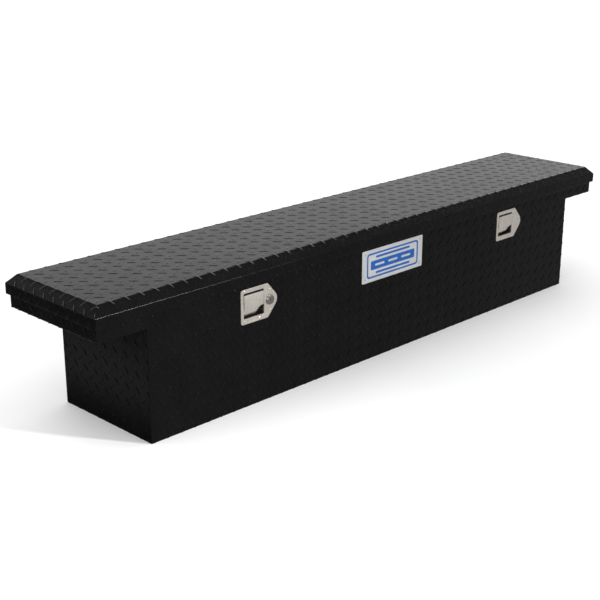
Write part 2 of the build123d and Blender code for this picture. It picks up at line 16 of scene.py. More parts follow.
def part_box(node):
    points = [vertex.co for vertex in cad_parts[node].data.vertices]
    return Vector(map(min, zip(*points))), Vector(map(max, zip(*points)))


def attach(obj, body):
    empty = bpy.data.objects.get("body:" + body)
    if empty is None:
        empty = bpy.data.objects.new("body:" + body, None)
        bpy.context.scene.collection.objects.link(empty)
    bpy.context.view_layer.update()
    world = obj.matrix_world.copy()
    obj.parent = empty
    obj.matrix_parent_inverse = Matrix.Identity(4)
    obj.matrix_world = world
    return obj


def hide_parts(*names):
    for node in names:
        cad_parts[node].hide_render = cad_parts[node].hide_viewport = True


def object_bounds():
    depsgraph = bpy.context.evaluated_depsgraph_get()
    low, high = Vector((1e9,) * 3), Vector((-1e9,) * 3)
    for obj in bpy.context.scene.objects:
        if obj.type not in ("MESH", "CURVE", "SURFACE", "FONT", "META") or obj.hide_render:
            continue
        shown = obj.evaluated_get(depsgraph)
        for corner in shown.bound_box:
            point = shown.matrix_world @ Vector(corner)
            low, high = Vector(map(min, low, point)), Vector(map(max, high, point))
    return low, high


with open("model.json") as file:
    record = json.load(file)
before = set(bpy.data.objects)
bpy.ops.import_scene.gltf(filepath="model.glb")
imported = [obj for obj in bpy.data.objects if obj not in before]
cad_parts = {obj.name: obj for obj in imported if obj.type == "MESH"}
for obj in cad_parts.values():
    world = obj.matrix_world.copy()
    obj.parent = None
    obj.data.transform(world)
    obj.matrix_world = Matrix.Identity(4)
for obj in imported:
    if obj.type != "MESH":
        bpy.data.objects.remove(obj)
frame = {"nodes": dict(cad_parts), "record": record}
cad_bounds = [[float(c) for c in corner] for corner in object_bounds()]

# -------------------- sizes taken from the frame
MM = 0.001
SHEET = 1.6 * MM
lid_low, lid_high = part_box("lid_shell")
tub_low, tub_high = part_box("front_panel")
HALF_L, HALF_W = lid_high.x, lid_high.y
TOP_Z, SKIRT_Z = lid_high.z, lid_low.z
WING_X, FACE_Y, RIM_Z = tub_high.x, -tub_low.y, tub_high.z
TUB_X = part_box("floor_panel")[1].x + SHEET
WING_Z = next(m["pos_m"][2] for m in frame["record"]["mounts"] if m["name"] == "rail_seat_left")
SLOPE_RUN = 19 * MM
SLOPE_RISE = 20 * MM
HEM = 8 * MM
HEM_BEND = 1.65 * MM
RIM_FLANGE = tub_high.y + FACE_Y
BEND = 3.2 * MM                 # outer radius of a fold
TIGHT_BEND = 2.0 * MM

# -------------------- tread pattern
LUG_LENGTH = 13.6 * MM          # half length
LUG_WIDTH = 3.0 * MM            # half width
LUG_HEIGHT = 1.35 * MM
LID_LUG_HEIGHT = 0.85 * MM      # lower only to look as faint as the lid's pattern should
LUG_POINT = 3                   # how blunt the ends are: 2 is a lens
LUG_LEVELS = (1.0, 0.6, 0.22)
LUG_STEPS = (-1.0, -0.8, -0.35, 0.35, 0.8, 1.0)
PRESSED = 3 * MM                # the pattern fades out over this distance beside a plate
EDGE_FADE = 2 * MM              # and over this one beside a fold or a hinge leaf
LEAN = math.pi / 4
LID_FIRST, LID_PITCH = (-826 * MM, -0.4 * MM), (36.9 * MM, 35 * MM)
WALL_FIRST, WALL_PITCH = (-849.5 * MM, 37 * MM), (36.8 * MM, 33.4 * MM)
END_FIRST, END_PITCH = (-2.5 * MM, 38 * MM), (36.7 * MM, 35 * MM)


class Tread:
    """Two families of lugs, each on its own rectangular lattice, leaning opposite ways."""

    def __init__(self, first, pitch, lean, bare=None, fade=None, tall=LUG_HEIGHT):
        self.first, self.pitch, self.lean = np.array(first), np.array(pitch), lean
        self.bare, self.fade, self.tall = bare, fade, tall

    def families(self):
        half = self.pitch / 2
        return [(self.first, self.lean), (self.first + half, -self.lean)]

    def centres(self, low, high):
        """Lug centres and leans in a rectangle of the sheet."""
        found = []
        for first, lean in self.families():
            start = np.floor((np.array(low) - first) / self.pitch).astype(int)
            stop = np.ceil((np.array(high) - first) / self.pitch).astype(int)
            for i in range(start[0], stop[0] + 1):
                for j in range(start[1], stop[1] + 1):
                    spot = first + self.pitch * (i, j)
                    if self.bare is None or not self.bare(spot[None])[0]:
                        found.append((spot, lean))
        return found

    def relief(self, uv):
        """Height of the pattern and its slope along u and v."""
        height, slope = np.zeros(len(uv)), np.zeros((len(uv), 2))
        for first, lean in self.families():
            spot = first + np.round((uv - first) / self.pitch) * self.pitch
            c, s = math.cos(lean), math.sin(lean)
            d = uv - spot
            x, y = d[:, 0] * c + d[:, 1] * s, -d[:, 0] * s + d[:, 1] * c
            level = np.abs(y) / LUG_WIDTH + np.abs(x / LUG_LENGTH) ** LUG_POINT
            on = level < 1
            if self.bare is not None:
                on &= ~self.bare(spot)
            bump = self.tall * 0.5 * (1 + np.cos(np.pi * np.minimum(level, 1)))
            fall = -self.tall * 0.5 * np.pi * np.sin(np.pi * np.minimum(level, 1))
            side = np.where(np.abs(y) < 1e-6, 0, np.sign(y))
            steep = LUG_POINT * np.abs(x / LUG_LENGTH) ** (LUG_POINT - 1) * np.sign(x) / LUG_LENGTH
            gx, gy = fall * steep, fall * side / LUG_WIDTH
            height[on] = bump[on]
            slope[on] = np.stack([gx * c - gy * s, gx * s + gy * c], 1)[on]
        if self.fade is not None:
            share = self.fade(uv)
            height, slope = height * share, slope * share[:, None]
        return height, slope


def lug_loops(spot, lean):
    """Contour loops of one lug, outermost first, and its top point."""
    turn = np.array([[math.cos(lean), math.sin(lean)], [-math.sin(lean), math.cos(lean)]])
    loops = []
    for level in LUG_LEVELS:
        upper = [(t, 1 - abs(t) ** LUG_POINT) for t in LUG_STEPS]
        lower = [(t, -w) for t, w in upper[-2:0:-1]]
        reach = LUG_LENGTH * level ** (1 / LUG_POINT)
        shape = [(reach * t, LUG_WIDTH * level * w) for t, w in upper + lower]
        loops.append(spot + np.array(shape) @ turn)
    return loops


# -------------------- folded sheet
class Section:
    """A folded sheet's outer face seen end on: straight runs joined by round bends.

    The outer side is on the left of the path."""

    def __init__(self, corners, radii):
        points = [np.array(c, float) for c in corners]
        ways = [b - a for a, b in zip(points, points[1:])]
        lengths = [float(np.linalg.norm(w)) for w in ways]
        ways = [w / n for w, n in zip(ways, lengths)]
        turns = [
            math.atan2(a[0] * b[1] - a[1] * b[0], float(a @ b)) for a, b in zip(ways, ways[1:])
        ]
        cuts = [0.0] + [r * math.tan(abs(t) / 2) for r, t in zip(radii, turns)] + [0.0]
        self.parts, self.marks, self.length = [], [0.0], 0.0
        for i, way in enumerate(ways):
            run = lengths[i] - cuts[i] - cuts[i + 1]
            start = points[i] + way * cuts[i]
            self._add(("run", start, way), run, 1)
            if i < len(turns):
                side = math.copysign(1.0, turns[i])
                normal = np.array([-way[1], way[0]]) * side
                centre = start + way * run + normal * radii[i]
                heading = math.atan2(way[1], way[0])
                steps = max(2, round(abs(turns[i]) / math.radians(16)))
                self._add(("bend", centre, heading, radii[i], side), radii[i] * abs(turns[i]), steps)

    def _add(self, part, length, steps):
        if length > 1e-7:
            self.parts.append((self.length, self.length + length, part))
            self.marks += [self.length + length * (k + 1) / steps for k in range(steps)]
            self.length += length

    def at(self, s):
        """Points and headings at distances s along the path."""
        s = np.asarray(s, float)
        point, way = np.zeros((len(s), 2)), np.zeros((len(s), 2))
        for start, stop, part in self.parts:
            on = s >= start - 1e-9
            t = (s - start)[on]
            if part[0] == "run":
                point[on] = part[1] + t[:, None] * part[2]
                way[on] = part[2]
            else:
                _, centre, heading, radius, side = part
                a = heading + side * np.minimum(t, stop - start) / radius
                way[on] = np.stack([np.cos(a), np.sin(a)], 1)
                left = np.stack([-np.sin(a), np.cos(a)], 1)
                point[on] = centre - side * radius * left
        return point, way


def triangulate(points, edges, inside):
    """Constrained triangles of the kept region: corner places and index triples."""
    scaled = [Vector((p[0] / MM, p[1] / MM)) for p in points]
    found = delaunay_2d_cdt(scaled, edges, [], 0, 1e-4)
    places = np.array([tuple(v) for v in found[0]]) * MM
    triangles = np.array([f for f in found[2] if len(f) == 3])
    middle = places[triangles].mean(1)
    return places, triangles[inside(middle)]


def border(triangles):
    """Directed edges that only one triangle has."""
    pairs = np.concatenate([triangles[:, [0, 1]], triangles[:, [1, 2]], triangles[:, [2, 0]]])
    keys = {(int(a), int(b)) for a, b in pairs}
    return [(a, b) for a, b in keys if (b, a) not in keys]


def new_object(name, mesh, material):
    mesh.materials.clear()
    mesh.materials.append(material)
    piece = bpy.data.objects.new(name, mesh)
    bpy.context.scene.collection.objects.link(piece)
    return piece


def mesh_with_normals(name, verts, faces, corner_normals):
    mesh = bpy.data.meshes.new(name)
    mesh.from_pydata(verts.tolist(), [], [list(map(int, f)) for f in faces])
    mesh.polygons.foreach_set("use_smooth", [True] * len(mesh.polygons))
    mesh.normals_split_custom_set(corner_normals.tolist())
    mesh.validate()
    return mesh


def sheet_mesh(name, points, edges, inside, place, relief, thick):
    """Closed sheet: outer face with relief, flat inner face and the cut edges between them.

    place(uv) gives points, normals and the directions of u and v."""
    uv, outer = triangulate(points, edges, inside)
    rim = border(outer)
    rim_ids = sorted({i for pair in rim for i in pair})
    order = {i: k for k, i in enumerate(rim_ids)}
    plain = [tuple(uv[i]) for i in rim_ids]
    inner_edges = [(order[a], order[b]) for a, b in rim]
    for a, b in edges.creases:
        inner_edges.append((len(plain), len(plain) + 1))
        plain += [tuple(a), tuple(b)]
    inner_uv, inner = triangulate(plain, inner_edges, inside)

    at, normal, way_u, way_v = place(uv)
    height, slope = relief(uv)
    outer_at = at + normal * height[:, None]
    outer_normal = normal - way_u * slope[:, :1] - way_v * slope[:, 1:]
    outer_normal /= np.linalg.norm(outer_normal, axis=1)[:, None]
    in_at, in_normal, _, _ = place(inner_uv)
    inner_at = in_at - in_normal * thick

    nearest = {}
    grid = {(round(u / MM, 2), round(v / MM, 2)): i for i, (u, v) in enumerate(inner_uv)}
    for i in rim_ids:
        key = (round(uv[i][0] / MM, 2), round(uv[i][1] / MM, 2))
        found = grid.get(key)
        if found is None:
            found = int(np.argmin(((inner_uv - uv[i]) ** 2).sum(1)))
        nearest[i] = found + len(uv)
    verts = np.concatenate([outer_at, inner_at])
    if float((np.cross(way_u[0], way_v[0]) * normal[0]).sum()) < 0:
        outer, inner_faces = outer[:, ::-1], inner + len(uv)
        walls = [(a, b, nearest[b], nearest[a]) for a, b in rim]
    else:
        inner_faces = inner[:, ::-1] + len(uv)
        walls = [(b, a, nearest[a], nearest[b]) for a, b in rim]
    walls = [w for w in walls if w[2] != w[3]]
    wall_normals = []
    for a, b, c, d in walls:
        flat = np.cross(verts[c] - verts[a], verts[d] - verts[b])
        wall_normals += [flat / max(float(np.linalg.norm(flat)), 1e-12)] * 4
    corner_normals = np.concatenate([
        outer_normal[outer.reshape(-1)],
        -in_normal[inner_faces.reshape(-1) - len(uv)],
        np.array(wall_normals).reshape(-1, 3),
    ])
    faces = outer.tolist() + inner_faces.tolist() + walls
    used = np.unique(np.concatenate([np.ravel(f) for f in (outer, inner_faces, walls)]))
    renumber = np.zeros(len(verts), int)
    renumber[used] = np.arange(len(used))
    faces = [renumber[list(f)] for f in faces]
    return mesh_with_normals(name, verts[used], faces, corner_normals)


class Lines(list):
    """Constraint edges over a growing list of points, with the crease lines kept apart."""

    def __init__(self):
        super().__init__()
        self.points, self.creases = [], []

    def path(self, places, closed=False):
        first = len(self.points)
        self.points += [tuple(p) for p in places]
        count = len(places)
        self += [(first + k, first + k + 1) for k in range(count - 1)]
        if closed:
            self.append((first + count - 1, first))

    def crease(self, a, b):
        self.path([a, b])
        self.creases.append((a, b))

    def dot(self, place):
        self.points.append(tuple(place))


def add_lugs(lines, tread, low, high, near):
    """Contours of every lug that reaches into the sheet."""
    for spot, lean in tread.centres(low, high):
        loops = lug_loops(spot, lean)
        if not near(loops[0]).any():
            continue
        for loop in loops:
            lines.path(loop, closed=True)
        lines.dot(spot)


def in_polygon(uv, polygon):
    """Which points lie inside a closed polygon."""
    inside = np.zeros(len(uv), bool)
    for (x0, y0), (x1, y1) in zip(polygon, np.roll(polygon, -1, axis=0)):
        crosses = (y0 > uv[:, 1]) != (y1 > uv[:, 1])
        if y0 != y1:
            inside ^= crosses & (uv[:, 0] < (x1 - x0) * (uv[:, 1] - y0) / (y1 - y0) + x0)
    return inside


def distance_to(uv, polygon):
    """Distance of each point from a closed polygon's line."""
    best = np.full(len(uv), np.inf)
    for a, b in zip(polygon, np.roll(polygon, -1, axis=0)):
        d = b - a
        t = np.clip(((uv - a) @ d) / max(float(d @ d), 1e-18), 0, 1)
        best = np.minimum(best, np.linalg.norm(uv - a - t[:, None] * d, axis=1))
    return best


def arc(centre, radius, start, stop, steps):
    """Points on an arc, angles in degrees."""
    angles = np.radians(np.linspace(start, stop, steps + 1))
    return np.array(centre) + radius * np.stack([np.cos(angles), np.sin(angles)], 1)


def circle(centre, radius, steps):
    return arc(centre, radius, 0, 360, steps)[:-1]


def rounded_rectangle(centre, half, radius, steps=4):
    """Closed outline, anticlockwise."""
    corners = []
    for sx, sy, start in ((1, 1, 0), (-1, 1, 90), (-1, -1, 180), (1, -1, 270)):
        middle = (centre[0] + sx * (half[0] - radius), centre[1] + sy * (half[1] - radius))
        corners.append(arc(middle, radius, start, start + 90, steps))
    return np.concatenate(corners)


# -------------------- latch outlines
LATCHES = {}
for side_name in ("left", "right"):
    plate_low, plate_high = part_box(f"latch_plate_{side_name}")
    LATCHES[side_name] = (plate_low, plate_high)
LATCH_Z = (LATCHES["left"][0].z + LATCHES["left"][1].z) / 2
PLATE_HALF = (LATCHES["left"][1].z - LATCHES["left"][0].z) / 2
OPENING_HALF = 30 * MM
OPENING_TOP = 30.5 * MM
OPENING_FOOT = -27.5 * MM
BORDER = 8 * MM
LOCK_X = 47.5 * MM
NOSE_R = 20 * MM
NOSE_SETBACK = 10.7 * MM        # from the nose's centre back to its corners' centres
CORNER_R = 6 * MM
OPENING_R = 3 * MM
SHEET_GAP = 1.6 * MM            # the sheet's hole is this much larger than the plate's
LOCK_HOLE_R = 9.8 * MM
NAME_CORNER_R = 3 * MM


def paddle_x(side_name):
    return LATCHES[side_name][0].x + BORDER + OPENING_HALF


def hull(points):
    """Convex outline, anticlockwise."""
    points = sorted(map(tuple, points))
    chains = []
    for run in (points, points[::-1]):
        chain = []
        for p in run:
            while len(chain) > 1 and (
                (chain[-1][0] - chain[-2][0]) * (p[1] - chain[-2][1])
                - (chain[-1][1] - chain[-2][1]) * (p[0] - chain[-2][0])
            ) <= 0:
                chain.pop()
            chain.append(p)
        chains += chain[:-1]
    return np.array(chains)


def plate_outline(side_name, grow=0.0):
    """Latch plate: a rectangle with a rounded nose on its right."""
    low, high = LATCHES[side_name]
    nose = high.x - NOSE_R
    circles = [(nose, LATCH_Z, NOSE_R)]
    for x in (low.x + CORNER_R, nose - NOSE_SETBACK):
        for sign in (-1, 1):
            circles.append((x, LATCH_Z + sign * (PLATE_HALF - CORNER_R), CORNER_R))
    cloud = np.concatenate([arc((x, z), r + grow, 0, 360, 32) for x, z, r in circles])
    return hull(cloud)


def opening_outline(side_name, grow=0.0):
    middle = (paddle_x(side_name), LATCH_Z + (OPENING_TOP + OPENING_FOOT) / 2)
    half = (OPENING_HALF + grow, (OPENING_TOP - OPENING_FOOT) / 2 + grow)
    return rounded_rectangle(middle, half, OPENING_R + grow)


name_low, name_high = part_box("nameplate")
NAME_MIDDLE = ((name_low.x + name_high.x) / 2, (name_low.z + name_high.z) / 2)
NAME_HALF = ((name_high.x - name_low.x) / 2, (name_high.z - name_low.z) / 2)


# -------------------- materials
COAT_IOR = 1.19                 # below a real coat's, set to suit this studio


def set_inputs(node, **values):
    for key, value in values.items():
        node.inputs[key].default_value = value


def map_range(tree, value, numbers, kind="LINEAR"):
    """Carries a value from one range to another: numbers are from low, high, to low, high."""
    made = tree.nodes.new("ShaderNodeMapRange")
    made.interpolation_type = kind
    set_inputs(made, **dict(zip(("From Min", "From Max", "To Min", "To Max"), numbers)))
    tree.links.new(value, made.inputs["Value"])
    return made.outputs["Result"]


class Surface:
    """One procedural material: a Principled shader and the nodes that feed it."""

    def __init__(self, name, **values):
        self.material = bpy.data.materials.new(name)
        self.material.use_nodes = True
        self.tree = self.material.node_tree
        self.shader = self.tree.nodes["Principled BSDF"]
        self.space = self.node("ShaderNodeTexCoord").outputs["Object"]
        set_inputs(self.shader, **values)

    def node(self, kind, **settings):
        made = self.tree.nodes.new(kind)
        for key, value in settings.items():
            setattr(made, key, value)
        return made

    def link(self, a, b):
        self.tree.links.new(a, b)

    def stretched(self, scale):
        mapping = self.node("ShaderNodeMapping")
        mapping.inputs["Scale"].default_value = scale
        self.link(self.space, mapping.inputs["Vector"])
        return mapping.outputs["Vector"]

    def noise(self, scale, detail=2.0, where=None, roughness=0.5):
        made = self.node("ShaderNodeTexNoise")
        set_inputs(made, Scale=scale, Detail=detail, Roughness=roughness)
        self.link(where or self.space, made.inputs["Vector"])
        return made.outputs["Fac"]

    def cells(self, scale, output):
        made = self.node("ShaderNodeTexVoronoi")
        set_inputs(made, Scale=scale)
        self.link(self.space, made.inputs["Vector"])
        return made.outputs[output]

    def ramp(self, value, stops):
        made = self.node("ShaderNodeValToRGB")
        self.link(value, made.inputs["Fac"])
        points = made.color_ramp.elements
        while len(points) < len(stops):
            points.new(0.5)
        for point, (place, colour) in zip(points, stops):
            point.position = place
            point.color = (*colour, 1)
        return made.outputs["Color"]

    def two_tone(self, value, dark, light):
        self.colour(self.ramp(value, [(0.3, dark), (0.7, light)]))

    def spread(self, value, low, high):
        """Noise, which is mostly between 0.3 and 0.7, stretched to low and high."""
        return map_range(self.tree, value, (0.3, 0.7, low, high))

    def colour(self, output):
        self.link(output, self.shader.inputs["Base Color"])

    def roughness(self, output):
        self.link(output, self.shader.inputs["Roughness"])

    def bump(self, height, depth, strength=1.0):
        made = self.node("ShaderNodeBump")
        set_inputs(made, Distance=depth, Strength=strength)
        self.link(height, made.inputs["Height"])
        before = self.shader.inputs["Normal"].links
        if before:
            self.link(before[0].from_socket, made.inputs["Normal"])
        self.link(made.outputs["Normal"], self.shader.inputs["Normal"])


def scaled(tone, share):
    return [min(c * share, 1) for c in tone]


def powder_coat(name, tone, gloss):
    """Black powder coat: orange peel, faint cloudiness and a soft sheen."""
    s = Surface(name, **{"IOR": COAT_IOR, "Metallic": 0.0})
    s.two_tone(s.noise(14, 4), scaled(tone, 0.8), scaled(tone, 1.2))
    s.roughness(s.spread(s.noise(35, 5), gloss - 0.04, gloss + 0.05))
    s.bump(s.noise(520, 2), 0.00005, 0.6)
    s.bump(s.noise(2600, 1), 0.00001, 0.5)
    return s.material


def brushed(name, tone, low, high, grain=(1.5, 40, 900), depth=0.00003, metallic=1.0):
    """Brushed metal: fine lines along X, with patches of different polish."""
    s = Surface(name, **{"Metallic": metallic})
    lines = s.noise(1.0, 3, s.stretched(grain), 0.6)
    patches = s.noise(30, 3)
    s.two_tone(patches, scaled(tone, 0.93), scaled(tone, 1.04))
    mix = s.node("ShaderNodeMath", operation="ADD")
    s.link(s.spread(lines, low * 0.6, high * 0.6), mix.inputs[0])
    s.link(s.spread(patches, low * 0.4, high * 0.4), mix.inputs[1])
    s.roughness(mix.outputs[0])
    s.bump(lines, depth, 0.5)
    return s


def turned(name, tone, low, high, grain=(300, 300, 300)):
    """Bright metal of a small part, with no brushing along X."""
    return brushed(name, tone, low, high, grain, 0.00001).material


def painted_recess_shade(surface, near, deep, deepest_shade):
    """Paints shade on a metal: its colour darkens towards the bottom of its recess behind the front
    sheet, where shade falls.
    """
    split = surface.node("ShaderNodeSeparateXYZ")
    surface.link(surface.space, split.inputs[0])
    # painted shade: the colour is multiplied from 1 at near down to the last value at deep behind the
    # front face
    numbers = (near - FACE_Y, deep - FACE_Y, 1.0, deepest_shade)
    share = map_range(surface.tree, split.outputs["Y"], numbers)
    fade = surface.node("ShaderNodeMix", data_type="RGBA", blend_type="MULTIPLY")
    fade.inputs[0].default_value = 1.0
    surface.link(surface.shader.inputs["Base Color"].links[0].from_socket, fade.inputs[6])
    surface.link(share, fade.inputs[7])
    surface.colour(fade.outputs[2])
    return surface.material


def grained(name, tone, rough, scale, depth, metallic=0.0):
    """Fine grain all over: plastic, foam, cast or plated metal."""
    s = Surface(name, **{"Metallic": metallic})
    grain = s.noise(scale, 4)
    s.two_tone(s.noise(scale / 12, 3), scaled(tone, 0.8), scaled(tone, 1.15))
    s.roughness(s.spread(grain, rough - 0.07, rough + 0.07))
    s.bump(grain, depth, 0.6)
    return s.material


def zinc_plate():
    """Bright zinc with its crystal patches and a faint yellow cast."""
    s = Surface("zinc_steel", **{"Metallic": 1.0})
    crystals = s.cells(260, "Color")
    s.colour(s.ramp(crystals, [(0.2, (0.50, 0.49, 0.46)), (0.8, (0.66, 0.65, 0.60))]))
    s.roughness(s.spread(s.noise(180, 3), 0.28, 0.42))
    s.bump(s.noise(900, 2), 0.00002, 0.5)
    return s.material


def foam_rubber():
    """Closed-cell foam: fine pores under a dull skin."""
    s = Surface("seal_foam", **{"Sheen Weight": 0.15, "Sheen Roughness": 0.5})
    s.two_tone(s.noise(60, 4), (0.012, 0.012, 0.012), (0.028, 0.028, 0.027))
    s.roughness(s.spread(s.noise(400, 3), 0.75, 0.92))
    s.bump(s.cells(1400, "Distance"), 0.0001, 0.6)
    return s.material


def enamel():
    """Blue print on the nameplate."""
    s = Surface("nameplate_print", **{"Specular IOR Level": 0.25})
    s.two_tone(s.noise(220, 3), (0.004, 0.080, 0.33), (0.006, 0.098, 0.39))
    s.roughness(s.spread(s.noise(500, 2), 0.3, 0.42))
    s.bump(s.noise(900, 2), 0.00001, 0.5)
    return s.material


def stainless(name, near, deep, deepest_shade):
    # Brushed stainless with painted shade: its colour darkens deeper behind the front sheet
    steel = brushed(name, (0.79, 0.74, 0.67), 0.22, 0.34, metallic=0.88)
    return painted_recess_shade(steel, near, deep, deepest_shade)


COAT = (0.0031, 0.0031, 0.0032)
MATERIALS = {
    "coat_tread": powder_coat("coat_tread", COAT, 0.25),
    "coat_smooth": powder_coat("coat_smooth", COAT, 0.30),
    "seal_foam": foam_rubber(),
    # painted shade: stainless darkens from 5 mm to 14 mm behind the front face, down to 0.35 of its
    # tone
    "stainless": stainless("stainless", 5 * MM, 14 * MM, 0.35),
    "rivet_aluminium": turned("rivet_aluminium", (0.78, 0.77, 0.74), 0.25, 0.38),
    "zinc_steel": zinc_plate(),
    "spring_steel": grained("spring_steel", (0.30, 0.29, 0.28), 0.35, 900, 0.00001, 1.0),
    "nameplate_metal": brushed(
        "nameplate_metal", (0.88, 0.88, 0.88), 0.36, 0.48, (1.2, 30, 700), 0.00002, 0.78
    ).material,
    "lock_chrome": turned("lock_chrome", (0.38, 0.35, 0.33), 0.14, 0.24, (200, 200, 200)),
    "strut_paint": powder_coat("strut_paint", (0.014, 0.014, 0.014), 0.28),
    "strut_fitting": grained("strut_fitting", (0.02, 0.02, 0.02), 0.5, 700, 0.00002),
    "strut_chrome": turned("strut_chrome", (0.70, 0.70, 0.71), 0.08, 0.14, (600, 600, 20)),
}
PRINT = enamel()
# painted shade: the latch plate's dish darkens from 0.2 mm to 2.5 mm behind the front face, down to
# 0.12 of its tone
PLATE_STEEL = stainless("stainless_plate", 0.2 * MM, 2.5 * MM, 0.12)
SLOT_OF = {s["node"]: s["material_slot"] for s in frame["record"]["subparts"]}
BODY_OF = {
    node: body for body, nodes in frame["record"]["behaviour"]["bodies"].items() for node in nodes
}


MADE = set()                    # the CAD nodes that a piece stands for so far


def stand_for(piece, node):
    """The piece takes a CAD node's place and body."""
    MADE.add(node)
    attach(piece, BODY_OF[node])
    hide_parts(node)
    return piece


def add_on(piece, body):
    """A piece that no CAD node stands for."""
    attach(piece, body)
    return piece


# -------------------- lid skin
HINGE_RIVET_PITCH = 98 * MM
RIVET_CLEAR = 12 * MM           # no lug is centred nearer to a hinge rivet
HEM_FADE = 1.5 * MM


def build_lid():
    """Lid skin: one blank with four mitred flaps, folded over the slope, skirt and hem."""
    shared = [(0, TOP_Z), (HALF_W - SLOPE_RUN, TOP_Z), (HALF_W, TOP_Z - SLOPE_RISE)]
    hem_in = HALF_W - 2 * HEM_BEND
    hemmed = Section(
        shared + [(HALF_W, SKIRT_Z), (hem_in, SKIRT_Z), (hem_in, SKIRT_Z + HEM)],
        [BEND, BEND, HEM_BEND, HEM_BEND],
    )
    plain = Section(shared + [(HALF_W, SKIRT_Z)], [BEND, BEND])
    extra = HALF_L - HALF_W
    bend_marks = [m for m in hemmed.marks if m > 0]
    skirt_end = next(
        stop for _, stop, part in hemmed.parts
        if part[0] == "run" and stop > plain.length - 4 * MM
    )
    plain_marks = [m for m in plain.marks if m > 0]

    def reach(s):
        return hemmed.at(np.array([s]))[0][0][0] if s <= skirt_end else HALF_W

    def split(uv):
        along, across = np.abs(uv[:, 0]) - extra, np.abs(uv[:, 1])
        on_end = along > across
        return np.where(on_end, along, across), np.where(on_end, across, along), on_end

    def inside(uv):
        far, near, on_end = split(uv)
        back = ~on_end & (uv[:, 1] > 0)
        limit = np.where(back, plain.length, hemmed.length)
        wide = np.array(hemmed.at(np.minimum(far, skirt_end))[0][:, 0])
        return (far < limit) & (near < wide)

    def place(uv):
        far, _, on_end = split(uv)
        back = ~on_end & (uv[:, 1] > 0)
        point, way = hemmed.at(far)
        other_point, other_way = plain.at(np.minimum(far, plain.length))
        point[back], way[back] = other_point[back], other_way[back]
        sx, sy = np.sign(uv[:, 0]), np.sign(uv[:, 1])
        at = np.stack([uv[:, 0], uv[:, 1], point[:, 1]], 1)
        at[on_end, 0] = (sx * (point[:, 0] + extra))[on_end]
        at[~on_end, 1] = (sy * point[:, 0])[~on_end]
        normal = np.zeros((len(uv), 3))
        normal[:, 2] = way[:, 0]
        normal[on_end, 0] = (-way[:, 1] * sx)[on_end]
        normal[~on_end, 1] = (-way[:, 1] * sy)[~on_end]
        way_u, way_v = np.zeros((len(uv), 3)), np.zeros((len(uv), 3))
        way_u[:, 0], way_v[:, 1] = 1, 1
        way_u[on_end, 0] = way[on_end, 0]
        way_u[on_end, 2] = (way[:, 1] * sx)[on_end]
        way_v[~on_end, 1] = way[~on_end, 0]
        way_v[~on_end, 2] = (way[:, 1] * sy)[~on_end]
        return at, normal, way_u, way_v

    def fade(uv):
        far, _, _ = split(uv)
        return np.clip((skirt_end - far) / HEM_FADE, 0, 1)

    def bare(spots):
        step = spots[:, 0] / HINGE_RIVET_PITCH
        gap = np.abs(step - np.round(step)) * HINGE_RIVET_PITCH
        on_skirt = spots[:, 1] > plain.length - 30 * MM
        return on_skirt & (gap < RIVET_CLEAR)

    tread = Tread(LID_FIRST, LID_PITCH, -LEAN, bare, fade, LID_LUG_HEIGHT)
    lines, outline = Lines(), []
    for sx, sy in ((1, 1), (-1, 1), (-1, -1), (1, -1)):
        long_marks = plain_marks if sy > 0 else bend_marks
        on_long = [(sx * (extra + reach(s)), sy * s) for s in long_marks]
        on_end = [(sx * (extra + s), sy * reach(s)) for s in bend_marks]
        outline += on_end[::-1] + on_long[1:] if sx * sy > 0 else on_long[::-1] + on_end[1:]
    lines.path(outline, closed=True)
    for sy in (-1, 1):
        for s in (plain_marks if sy > 0 else bend_marks)[:-1]:
            wide = extra + reach(s)
            lines.crease((-wide, sy * s), (wide, sy * s))
    for sx in (-1, 1):
        for s in bend_marks[:-1]:
            lines.crease((sx * (extra + s), -reach(s)), (sx * (extra + s), reach(s)))
    fade_at = skirt_end - HEM_FADE
    for sy in (-1, 1):
        lines.path([(-HALF_L, sy * fade_at), (HALF_L, sy * fade_at)])
    for sx in (-1, 1):
        lines.path([(sx * (extra + fade_at), -HALF_W), (sx * (extra + fade_at), HALF_W)])
    size = (extra + skirt_end, skirt_end)
    add_lugs(lines, tread, (-size[0], -size[1]), size, inside)
    mesh = sheet_mesh("lid_skin", lines.points, lines, inside, place, tread.relief, SHEET)
    stand_for(new_object("lid_skin", mesh, MATERIALS["coat_tread"]), "lid_shell")


# -------------------- tub sheets
def wall_sheet(name, node, section, outline, axes, tread, holes=(), loops=(), limit=None):
    """A sheet folded along one direction. axes(u, point, way) gives places and directions."""
    polygon = np.array(outline)

    def inside(uv):
        kept = in_polygon(uv, polygon)
        for hole in holes:
            kept &= ~in_polygon(uv, hole)
        return kept

    def place(uv):
        point, way = section.at(uv[:, 1])
        return axes(uv[:, 0], point, way)

    lines = Lines()
    lines.path(outline, closed=True)
    for loop in [*holes, *loops]:
        lines.path(loop, closed=True)
    for s in section.marks[1:-1]:
        wide = max(abs(u) for u, v in outline if v >= s - 1e-6)
        if sum(v > s + 1e-6 for _, v in outline) and sum(v < s - 1e-6 for _, v in outline):
            lines.crease((-wide, s), (wide, s))
    low, high = polygon.min(0), polygon.max(0)
    if limit is not None:
        high = np.array([high[0], limit])
        lines.path([(low[0], limit), (high[0], limit)])
        lines.path([(low[0], limit - EDGE_FADE), (high[0], limit - EDGE_FADE)])
    add_lugs(lines, tread, low, high, inside)
    mesh = sheet_mesh(name, lines.points, lines, inside, place, tread.relief, SHEET)
    return stand_for(new_object(name, mesh, MATERIALS["coat_tread"]), node)


def t_outline(section):
    top = section.length
    return [
        (-TUB_X, 0), (TUB_X, 0), (TUB_X, WING_Z), (WING_X, WING_Z),
        (WING_X, top), (-WING_X, top), (-WING_X, WING_Z), (-TUB_X, WING_Z),
    ]


